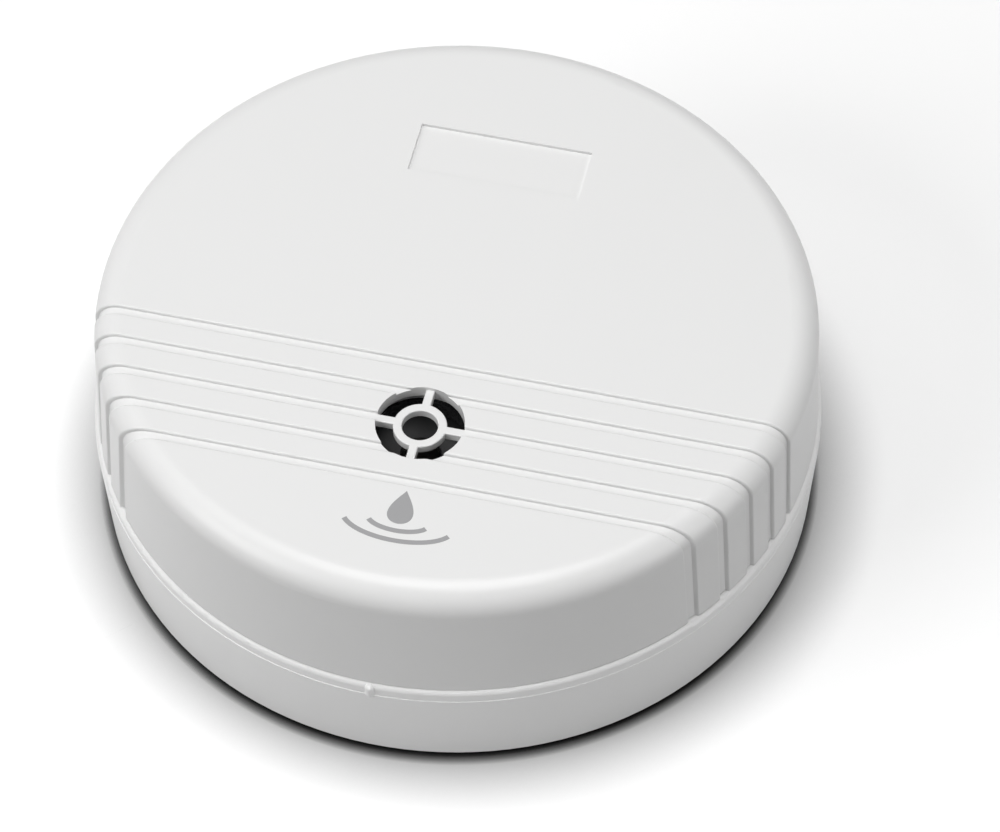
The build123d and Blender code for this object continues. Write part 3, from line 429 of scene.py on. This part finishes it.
class Shape:
    """Corners and faces of several simple forms, gathered into one mesh."""

    LEAST_MITRE = 0.4  # cosine past which a strip's corner isn't drawn out any further
    THREAD_FOOT = 0.3  # share of a thread's depth and pitch that its foot takes
    THREAD_FADE = 4  # parts of a turn in which a thread rises to its full depth

    def __init__(self):
        self.vertices = []
        self.faces = []

    def add(self, vertices, faces):
        start = len(self.vertices)
        self.vertices += vertices
        self.faces += [tuple(start + i for i in face) for face in faces]

    def lathe(self, profile, place, steps):
        """Closed profile of (radius, height) points turned about the Z axis of a placing matrix."""
        count = len(profile)
        vertices, faces = [], []
        for i in range(steps):
            turn = 2 * math.pi * i / steps
            vertices += [place @ Vector((r * math.cos(turn), r * math.sin(turn), h)) for r, h in profile]
            near, far = i * count, (i + 1) % steps * count
            for j in range(count):
                k = (j + 1) % count
                faces.append((near + j, far + j, far + k, near + k))
        self.add(vertices, faces)

    def slab(self, outline, low, high):
        """Plate over an outline of (x, y) points."""
        count = len(outline)
        vertices = [Vector((x, y, z)) for z in (low, high) for x, y in outline]
        sides = [(i, (i + 1) % count, count + (i + 1) % count, count + i) for i in range(count)]
        self.add(vertices, sides + [tuple(reversed(range(count))), tuple(range(count, 2 * count))])

    def strip(self, path, width, low, high, closed=False):
        """Flat strip of even width along a path of (x, y) points, mitred at its corners."""
        count = len(path)
        vertices, faces = [], []
        for i in range(count):
            spot = Vector(path[i])
            before = Vector(path[i - 1]) if closed or i > 0 else None
            after = Vector(path[(i + 1) % count]) if closed or i < count - 1 else None
            into = (spot - before if before is not None else after - spot).normalized()
            out = (after - spot if after is not None else spot - before).normalized()
            side = Vector((-into.y, into.x))
            across = Vector((-into.y - out.y, into.x + out.x)).normalized()
            across *= width / 2 / max(across.dot(side), self.LEAST_MITRE)
            for edge, level in ((across, low), (-across, low), (-across, high), (across, high)):
                vertices.append(Vector((spot.x + edge.x, spot.y + edge.y, level)))
        for i in range(count if closed else count - 1):
            near, far = 4 * i, 4 * ((i + 1) % count)
            faces += [(near + j, near + (j + 1) % 4, far + (j + 1) % 4, far + j) for j in range(4)]
        if not closed:
            faces += [(0, 3, 2, 1), tuple(4 * (count - 1) + j for j in range(4))]
        self.add(vertices, faces)

    def helix(self, centre, radius, low, high, pitch, depth, steps=24):
        """Raised thread around an upright stud, fading out at both ends."""
        foot = self.THREAD_FOOT
        turns = int((high - low) / pitch * steps)
        vertices, faces = [], []
        for i in range(turns + 1):
            turn = 2 * math.pi * i / steps
            level = low + pitch * i / steps
            fade = min(1.0, self.THREAD_FADE * i / steps, self.THREAD_FADE * (turns - i) / steps)
            for out, up in ((-foot, -foot), (fade, 0.0), (-foot, foot)):
                r = radius + depth * out
                vertices.append(Vector((centre.x + r * math.cos(turn), centre.y + r * math.sin(turn),
                                        level + pitch * up)))
            if i:
                near, far = 3 * (i - 1), 3 * i
                faces += [(near + j, near + (j + 1) % 3, far + (j + 1) % 3, far + j) for j in range(3)]
        faces += [(0, 1, 2), (3 * turns + 2, 3 * turns + 1, 3 * turns)]
        self.add(vertices, faces)

    def piece(self, name, material, body, slot, smooth_angle=None):
        """Turn what was gathered into a piece of the scene."""
        finish_piece(mesh_piece(name, self.vertices, self.faces, smooth_angle), material, body)


def loose_boxes(name):
    """The two corners of the box round each loose solid of a CAD node."""
    node = frame["nodes"][name]
    corners = [node.matrix_world @ v.co for v in node.data.vertices]
    keys = [tuple(round(c / MM, 3) for c in corner) for corner in corners]
    parent = {key: key for key in keys}

    def root(key):
        while parent[key] != key:
            parent[key] = parent[parent[key]]
            key = parent[key]
        return key

    for polygon in node.data.polygons:
        first = root(keys[polygon.vertices[0]])
        for index in polygon.vertices[1:]:
            parent[root(keys[index])] = first
    groups = {}
    for key, corner in zip(keys, corners):
        groups.setdefault(root(key), []).append(corner)
    return [(Vector(map(min, zip(*group))), Vector(map(max, zip(*group)))) for group in groups.values()]


def crossings(name, level, apart):
    """Middle and half width of each wire of a CAD node where it passes a level."""
    node = frame["nodes"][name]
    groups = []
    for edge in node.data.edges:
        a, b = (node.matrix_world @ node.data.vertices[i].co for i in edge.vertices)
        if (a.z - level) * (b.z - level) >= 0:
            continue
        spot = a.lerp(b, (level - a.z) / (b.z - a.z)).to_2d()
        group = next((g for g in groups if (g[0] - spot).length < apart), None)
        if group is None:
            groups.append([spot])
        else:
            group.append(spot)
    found = []
    for group in groups:
        low, high = Vector(map(min, zip(*group))), Vector(map(max, zip(*group)))
        found.append(((low + high) / 2, max(high - low) / 2))
    return found


def arc(centre, across, along, start, end, steps=40):
    """Points along part of an ellipse, from one angle to another in degrees."""
    turns = [math.radians(start + (end - start) * i / steps) for i in range(steps + 1)]
    return [(centre[0] + across * math.cos(t), centre[1] + along * math.sin(t)) for t in turns]


# Printed mark in front of the grille
MARK_PLACE = (0.9 * MM, -30.9 * MM)
DROP_BREADTH = 2.1 * MM
DROP_LENGTH = 2.4 * MM  # from the middle to the tip
DROP_TAPER = 1.3  # power by which the drop narrows towards its tip
DROP_STEPS = 64
RIPPLES = ((3.6 * MM, 1.5 * MM), (6.6 * MM, 2.9 * MM))  # half breadth and half length of each ellipse
RIPPLE_SETBACK = 1.9 * MM  # from the drop's middle to that of the ellipses
RIPPLE_ANGLES = (200, 340)
RIPPLE_WIDTH = 0.62 * MM


def make_print():
    """Plain printed mark in front of the grille: a drop over two ripples."""
    x, y = MARK_PLACE
    low, high = TOP_LEVEL - SUNK, TOP_LEVEL + INK_HEIGHT
    drop = []
    for i in range(DROP_STEPS):
        t = 2 * math.pi * i / DROP_STEPS
        beside = DROP_BREADTH * math.sin(t) * math.sin(t / 2) ** DROP_TAPER
        drop.append((x + beside, y + DROP_LENGTH * math.cos(t)))
    shape = Shape()
    shape.slab(drop[::-1], low, high)
    for across, along in RIPPLES:
        shape.strip(arc((x, y - RIPPLE_SETBACK), across, along, *RIPPLE_ANGLES), RIPPLE_WIDTH, low, high)
    shape.piece("print_mark", moulded("grey_print"), "cover", "white_cover")


# Wires that pass through the board where they can be seen from above, and how far apart their corners can lie
SOLDERED = {
    "alarm_chip_legs": 0.75 * MM,
    "transistor_legs": 0.70 * MM,
    "resistor_legs": 0.75 * MM,
    "diode_legs": 0.75 * MM,
    "ceramic_capacitor_legs": 0.75 * MM,
}
WIRES = ("left_sensor_lead", "right_sensor_lead", "red_battery_lead", "black_battery_lead")
WIRE_APART = 1.8 * MM
WIRE_LEVEL = 0.02 * MM  # above the board, where the wires are looked for

# Collar of solder round a leg: its outer points as pairs of reach past the leg and level, its highest level,
# and the share of the leg's half width where it starts
COLLAR = ((0.30 * MM, -SUNK), (0.30 * MM, 0.03 * MM), (0.14 * MM, 0.12 * MM), (0.04 * MM, 0.30 * MM))
COLLAR_TOP = 0.34 * MM
COLLAR_CORE_SHARE = 0.7
COLLAR_STEPS = 24

# Bare pad round a wire
PAD_REACH = 0.45 * MM
PAD_GAP = 0.02 * MM
PAD_HEIGHT = 0.04 * MM
PAD_STEPS = 32


def make_joints():
    """Solder round the legs and bare pads round the wires. Gives back where they are."""
    pads = []
    solder, bare = Shape(), Shape()
    for name, apart in SOLDERED.items():
        for spot, half in crossings(name, BOARD_TOP, apart):
            place = Matrix.Translation((spot.x, spot.y, BOARD_TOP))
            core = COLLAR_CORE_SHARE * half
            outer = [(half + reach, level) for reach, level in COLLAR]
            solder.lathe([(core, -SUNK)] + outer + [(core, COLLAR_TOP)], place, COLLAR_STEPS)
            pads.append((name, spot, outer[0][0]))
    for name in WIRES:
        for spot, half in crossings(name, BOARD_TOP + WIRE_LEVEL, WIRE_APART):
            if spot.y > BOARD_HIGH.y:
                continue
            place = Matrix.Translation((spot.x, spot.y, BOARD_TOP))
            inner, edge = half + PAD_GAP, half + PAD_REACH
            section = [(inner, -SUNK), (edge, -SUNK), (edge, PAD_HEIGHT), (inner, PAD_HEIGHT)]
            bare.lathe(section, place, PAD_STEPS)
            pads.append((name, spot, edge))
    metal = plated("solder")
    solder.piece("solder_joints", metal, "base", "tinned", smooth_angle=40)
    bare.piece("wire_pads", metal, "base", "tinned", smooth_angle=30)
    return pads


# Conductors on the board
TRACE_WIDTH = 0.55 * MM
TRACE_HEIGHT = 0.03 * MM
TRACE_GAP = 0.7 * MM  # least distance between the middles of two of them
TRACE_SHORTEST = 1.2 * MM
TRACE_SAMPLE = 0.25 * MM
LEAST_CORNER = 0.05 * MM
PAD_CLEARANCE = 0.45 * MM
OWN_PAD_AREA = 1.1 * MM  # near its own pads a conductor may come close to others
TRACES_TO_A_PAD = 2
MOST_PADS_JOINED = 40
FLAT_PART_CLEARANCES = {"sounder_case": 0.8 * MM, "boost_coil": 0.8 * MM, "electrolytic_capacitor": 0.3 * MM}
FASTENERS = ("board_screws", "contact_washers")
FASTENER_CLEARANCE = 0.6 * MM
ROUND_EDGE_CLEARANCE = 1.0 * MM
BACK_EDGE_CLEARANCE = 0.8 * MM


def samples(path):
    """Points close together along a path."""
    points = []
    for a, b in zip(path, path[1:]):
        count = max(1, int((b - a).length / TRACE_SAMPLE))
        points += [a.lerp(b, i / count) for i in range(count + 1)]
    return points


def blocked_circles():
    """Middle and radius of each place on the board that conductors keep clear of."""
    circles = []
    for name, clearance in FLAT_PART_CLEARANCES.items():
        low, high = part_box(name)
        circles.append((((low + high) / 2).to_2d(), (high.x - low.x) / 2 + clearance))
    for name in FASTENERS:
        for low, high in loose_boxes(name):
            circles.append((((low + high) / 2).to_2d(), (high.x - low.x) / 2 + FASTENER_CLEARANCE))
    return circles


def make_traces(pads):
    """Conductors between neighbouring pads, kept clear of one another and of the parts that sit flat."""
    blocked = blocked_circles()
    reach = (BOARD_HIGH.x - BOARD_LOW.x) / 2 - ROUND_EDGE_CLEARANCE
    pairs = sorted(((a, b) for a in range(len(pads)) for b in range(a) if pads[a][0] != pads[b][0]),
                   key=lambda pair: (pads[pair[0]][1] - pads[pair[1]][1]).length)
    drawn, uses = [], {}
    shape = Shape()
    for a, b in pairs:
        if max(uses.get(a, 0), uses.get(b, 0)) >= TRACES_TO_A_PAD or len(uses) > MOST_PADS_JOINED:
            continue
        start, end = pads[a][1], pads[b][1]
        dx, dy = end.x - start.x, end.y - start.y
        short = min(abs(dx), abs(dy))
        along_x = Vector((end.x - math.copysign(short, dx), start.y))
        along_y = Vector((start.x, end.y - math.copysign(short, dy)))
        path = [start, along_x if abs(dx) > abs(dy) else along_y, end]
        points = samples(path)
        clear = all((p - spot).length > edge + PAD_CLEARANCE for i, (_, spot, edge) in enumerate(pads)
                    if i not in (a, b) for p in points)
        clear = clear and all((p - spot).length > radius for spot, radius in blocked for p in points)
        clear = clear and all(p.length < reach and p.y < BOARD_HIGH.y - BACK_EDGE_CLEARANCE for p in points)
        clear = clear and all((p - q).length > TRACE_GAP for q in drawn for p in points
                              if (p - start).length > OWN_PAD_AREA and (p - end).length > OWN_PAD_AREA)
        if not clear or (end - start).length < TRACE_SHORTEST:
            continue
        drawn += points
        for i in (a, b):
            uses[i] = uses.get(i, 0) + 1
        path = [p for i, p in enumerate(path) if i == 0 or (p - path[i - 1]).length > LEAST_CORNER]
        shape.strip(path, TRACE_WIDTH, BOARD_TOP - SUNK, BOARD_TOP + TRACE_HEIGHT)
    shape.piece("board_traces", moulded("covered_copper"), "base", "board_green")


# Printed outlines on the board: how far they lie outside the round parts and the others
ROUND_OUTLINES = {"sounder_case": 0.5 * MM, "boost_coil": 0.5 * MM, "electrolytic_capacitor": 0.35 * MM,
                  "transistor": 0.35 * MM}
SQUARE_OUTLINES = {"alarm_chip": 0.2 * MM, "resistors": 0.3 * MM, "diodes": 0.25 * MM,
                   "ceramic_capacitors": 0.25 * MM}
OUTLINE_WIDTH = 0.16 * MM
OUTLINE_HEIGHT = 0.045 * MM
OUTLINE_STEPS = 48


def make_board_print():
    """White outlines that show where the parts stand on the board."""
    shape = Shape()
    low, high = BOARD_TOP - SUNK, BOARD_TOP + OUTLINE_HEIGHT
    for name, room in ROUND_OUTLINES.items():
        corner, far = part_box(name)
        centre = ((corner + far) / 2).to_2d()
        radius = (far.x - corner.x) / 2 + room
        ring = arc(centre, radius, radius, 0, 360 - 360 / OUTLINE_STEPS, OUTLINE_STEPS - 1)
        shape.strip(ring, OUTLINE_WIDTH, low, high, closed=True)
    for name, room in SQUARE_OUTLINES.items():
        for corner, far in loose_boxes(name):
            x_low, y_low, x_high, y_high = corner.x - room, corner.y - room, far.x + room, far.y + room
            outline = [(x_low, y_low), (x_high, y_low), (x_high, y_high), (x_low, y_high)]
            shape.strip(outline, OUTLINE_WIDTH, low, high, closed=True)
    shape.piece("board_print", moulded("white_print"), "base", "board_green")


# Painted rings: where the resistors' colours stand as a share of the half length, and how thick the body is
# there as a share of its radius, then the same place for the ring at the cathode end of the diodes
RESISTOR_BANDS = {
    "brown": (-0.78, 1.0),
    "black": (-0.30, 0.835),
    "orange": (0.05, 0.835),
    "gold": (0.78, 1.0),
}
RESISTOR_BAND_WIDTH = 0.52 * MM
CATHODE_BAND_SHARE = 0.52
CATHODE_BAND_WIDTH = 0.6 * MM
BAND_SUNK = 0.02 * MM
BAND_HEIGHT = 0.014 * MM
BAND_STEPS = 36


def lying(low, high):
    """Placing matrix with Z along the longer way that a part lies, its half length and its radius."""
    size = high - low
    turn = Matrix.Rotation(math.pi / 2, 4, "Y") if size.x > size.y else Matrix.Rotation(-math.pi / 2, 4, "X")
    return Matrix.Translation((low + high) / 2) @ turn, max(size.x, size.y) / 2, size.z / 2


def band(shape, place, middle, width, radius):
    """Thin painted ring around a lying part."""
    inner, outer = radius - BAND_SUNK, radius + BAND_HEIGHT
    shape.lathe([(inner, middle - width / 2), (outer, middle - width / 2),
                 (outer, middle + width / 2), (inner, middle + width / 2)], place, BAND_STEPS)


def make_bands():
    """Colour code on the resistors and the cathode ring on the diodes."""
    for name, (middle_share, girth_share) in RESISTOR_BANDS.items():
        shape = Shape()
        for low, high in loose_boxes("resistors"):
            place, half, radius = lying(low, high)
            band(shape, place, middle_share * half, RESISTOR_BAND_WIDTH, radius * girth_share)
        shape.piece("resistor_band_" + name, moulded(name + "_band"), "base", "resistor_tan", smooth_angle=40)
    shape = Shape()
    for low, high in loose_boxes("diodes"):
        place, half, radius = lying(low, high)
        band(shape, place, half * CATHODE_BAND_SHARE, CATHODE_BAND_WIDTH, radius)
    shape.piece("diode_bands", moulded("cathode_band"), "base", "diode_orange", smooth_angle=40)


# Printed plus and minus beside the battery's terminals
SIGN_INSET = 5.0 * MM
SIGN_REACH = 1.6 * MM
SIGN_STROKE = 0.7 * MM

# Printed voltage, left of the jacket's middle. Its points are in millimetres from its place.
VOLTAGE_OFFSET = 6 * MM
VOLTAGE_STROKE = 1.0 * MM
NINE_MIDDLE = (-4, 2)
NINE_RADIUS = 2.2 * MM
NINE_ANGLES = (-60, 285)
NINE_TAIL = ((-1.85, 1.6), (-2.3, -1.2), (-4.2, -4.4))
LETTER = ((1, 4.2), (3.8, -4.2), (6.6, 4.2))


def make_battery_marks():
    """Plus and minus at the terminals and the voltage, printed on the jacket's upper face."""
    low, high = BATTERY_HIGH.z - SUNK, BATTERY_HIGH.z + INK_HEIGHT
    shape = Shape()
    x = BATTERY_HIGH.x - SIGN_INSET
    for name in ("battery_stud", "battery_socket"):
        corner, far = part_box(name)
        y = (corner.y + far.y) / 2
        shape.strip([(x, y - SIGN_REACH), (x, y + SIGN_REACH)], SIGN_STROKE, low, high)
        if name == "battery_stud":
            shape.strip([(x - SIGN_REACH, y), (x + SIGN_REACH, y)], SIGN_STROKE, low, high + INK_STEP)
    x, y = (BATTERY_LOW.x + BATTERY_HIGH.x) / 2 - VOLTAGE_OFFSET, (BATTERY_LOW.y + BATTERY_HIGH.y) / 2
    middle = (x + NINE_MIDDLE[0] * MM, y + NINE_MIDDLE[1] * MM)
    shape.strip(arc(middle, NINE_RADIUS, NINE_RADIUS, *NINE_ANGLES), VOLTAGE_STROKE, low, high)
    for points, top in ((NINE_TAIL, high + INK_STEP), (LETTER, high)):
        path = [(x + across * MM, y + along * MM) for across, along in points]
        shape.strip(path, VOLTAGE_STROKE, low, top)
    shape.piece("battery_marks", moulded("pale_print"), "base", "battery_wrap")


# Thread on the studs
STUD_RADIUS = 1.5 * MM
THREAD_START = 0.95 * MM  # below the stud's tip
THREAD_END = 0.15 * MM  # below the stud's tip
THREAD_PITCH = 0.25 * MM
THREAD_DEPTH = 0.07 * MM


def make_threads(metal):
    """Thread that shows above the nuts on the four studs."""
    shape = Shape()
    for low, high in loose_boxes("sensor_contacts"):
        start, end = high.z - THREAD_START, high.z - THREAD_END
        shape.helix((low + high) / 2, STUD_RADIUS, start, end, THREAD_PITCH, THREAD_DEPTH)
    shape.piece("stud_threads", metal, "base", "nickel", smooth_angle=50)


def place_camera():
    """Camera at the photograph's viewing angle."""
    elevation, tilt = math.radians(CAMERA_ELEVATION), math.radians(CAMERA_TILT)
    pan, roll = math.radians(CAMERA_PAN), math.radians(CAMERA_ROLL)
    spot = Vector((0, -math.cos(elevation), math.sin(elevation))) * CAMERA_DISTANCE
    spot.z += CAMERA_FOOT_LEVEL
    downward = tilt - elevation
    look = Vector((math.sin(pan) * math.cos(downward), math.cos(pan) * math.cos(downward),
                   math.sin(downward)))
    right = look.cross(Vector((0, 0, 1))).normalized()
    upward = right.cross(look)
    right, upward = (right * math.cos(roll) + upward * math.sin(roll),
                     upward * math.cos(roll) - right * math.sin(roll))
    turn = Matrix((right, upward, -look)).transposed().to_4x4()
    data = bpy.data.cameras.new("camera")
    data.sensor_width = SENSOR_WIDTH
    data.lens = FOCAL_LENGTH_PX / IMAGE_WIDTH_PX * SENSOR_WIDTH
    data.clip_start, data.clip_end = CLIP_NEAR, CLIP_FAR
    camera = linked(data, "camera")
    camera.matrix_world = (Matrix.Rotation(math.radians(CAMERA_AZIMUTH), 4, "Z")
                           @ Matrix.Translation(spot) @ turn)
    bpy.context.scene.camera = camera


# Softboxes: direction they stand in from the object in degrees (azimuth from -Y towards +X, elevation) and
# the light that each sends, in watts
SOFTBOXES = {
    "light_above": (0, 90, 5.7),
    "light_key": (-50, 30, 3.2),
    "light_left": (-90, 60, 1.1),
    "light_right": (75, 15, 1.8),
    "light_back": (180, 60, 0.3),
}
SOFTBOX_DISTANCE = 0.9
SOFTBOX_SIDE = 0.5
WORLD_STRENGTH = 0.04


def place_lights():
    """Soft studio light from square softboxes that face the object."""
    target = Vector((0, 0, TOP_LEVEL / 2))
    for name, (azimuth, elevation, watts) in SOFTBOXES.items():
        a, e = math.radians(azimuth), math.radians(elevation)
        away = Vector((math.sin(a) * math.cos(e), -math.cos(a) * math.cos(e), math.sin(e)))
        data = bpy.data.lights.new(name, "AREA")
        data.shape = "SQUARE"
        data.size = SOFTBOX_SIDE
        data.energy = watts
        lamp = linked(data, name)
        lamp.location = target + away * SOFTBOX_DISTANCE
        lamp.rotation_mode = "QUATERNION"
        lamp.rotation_quaternion = away.to_track_quat("Z", "Y")


def seen_directly(tree):
    """1 where a surface is seen by the camera, in a mirror or through glass, 0 where it only sends light."""
    path = tree.nodes.new("ShaderNodeLightPath")
    total = tree.nodes.new("ShaderNodeMath")
    total.operation = "ADD"
    total.use_clamp = True
    tree.links.new(path.outputs["Is Camera Ray"], total.inputs[0])
    through = tree.nodes.new("ShaderNodeMath")
    through.operation = "ADD"
    tree.links.new(path.outputs["Is Glossy Ray"], through.inputs[0])
    tree.links.new(path.outputs["Is Transmission Ray"], through.inputs[1])
    tree.links.new(through.outputs[0], total.inputs[1])
    return total.outputs[0]


def make_world():
    """Even pale surroundings, seen as white."""
    world = bpy.data.worlds.new("studio")
    bpy.context.scene.world = world
    world.use_nodes = True
    tree = world.node_tree
    background = tree.nodes["Background"]
    background.inputs["Color"].default_value = (1, 1, 1, 1)
    strength = tree.nodes.new("ShaderNodeMapRange")
    strength.inputs["To Min"].default_value = WORLD_STRENGTH
    strength.inputs["To Max"].default_value = 1.0
    tree.links.new(seen_directly(tree), strength.inputs["Value"])
    tree.links.new(strength.outputs["Result"], background.inputs["Strength"])


# Floor: its brightness where it is seen and where it only sends light, and its contact shades as pairs of
# their reach off the object and their depth
FLOOR_SIDE = 6.0
FLOOR_SEEN = 1.0
FLOOR_SENT = 0.45
CONTACT_SHADES = ((1.6 * MM, 4.5), (10 * MM, 0.85))
SHADE_SAMPLES = 16


def contact_light(tree):
    """Share of light left on the floor beside the object: both contact shades and the seen brightness."""
    light_left = None
    for reach, depth in CONTACT_SHADES:
        near = tree.nodes.new("ShaderNodeAmbientOcclusion")
        near.samples = SHADE_SAMPLES
        near.inputs["Distance"].default_value = reach
        deepened = tree.nodes.new("ShaderNodeMath")
        deepened.operation = "POWER"
        deepened.inputs[1].default_value = depth
        tree.links.new(near.outputs["AO"], deepened.inputs[0])
        total = tree.nodes.new("ShaderNodeMath")
        total.operation = "MULTIPLY"
        total.inputs[1].default_value = FLOOR_SEEN
        tree.links.new(deepened.outputs[0], total.inputs[0])
        if light_left is not None:
            tree.links.new(light_left, total.inputs[1])
        light_left = total.outputs[0]
    return light_left


def make_floor():
    """Plain pale floor that is white where nothing shades it, and dark where the object nearly touches it."""
    half = FLOOR_SIDE / 2
    corners = [(-half, -half, 0), (half, -half, 0), (half, half, 0), (-half, half, 0)]
    floor = mesh_piece("floor", corners, [(0, 1, 2, 3)])
    material = bpy.data.materials.new("floor_paint")
    material.use_nodes = True
    tree = material.node_tree
    tree.nodes.remove(tree.nodes["Principled BSDF"])
    paint = tree.nodes.new("ShaderNodeBsdfDiffuse")
    colour = tree.nodes.new("ShaderNodeMix")
    colour.data_type = "RGBA"
    colour.inputs[MIX_FIRST].default_value = (FLOOR_SENT, FLOOR_SENT, FLOOR_SENT, 1)
    tree.links.new(contact_light(tree), colour.inputs[MIX_SECOND])
    tree.links.new(seen_directly(tree), colour.inputs[MIX_FACTOR])
    tree.links.new(colour.outputs[MIX_RESULT], paint.inputs["Color"])
    tree.links.new(paint.outputs[0], tree.nodes["Material Output"].inputs["Surface"])
    floor.data.materials.append(material)


bpy.context.scene.view_settings.view_transform = "Standard"
place_camera()
place_lights()
make_world()
make_floor()
materials = make_materials()
dress_nodes(materials)
make_print()
board_pads = make_joints()
make_traces(board_pads)
make_board_print()
make_bands()
make_battery_marks()
make_threads(materials["nickel"])
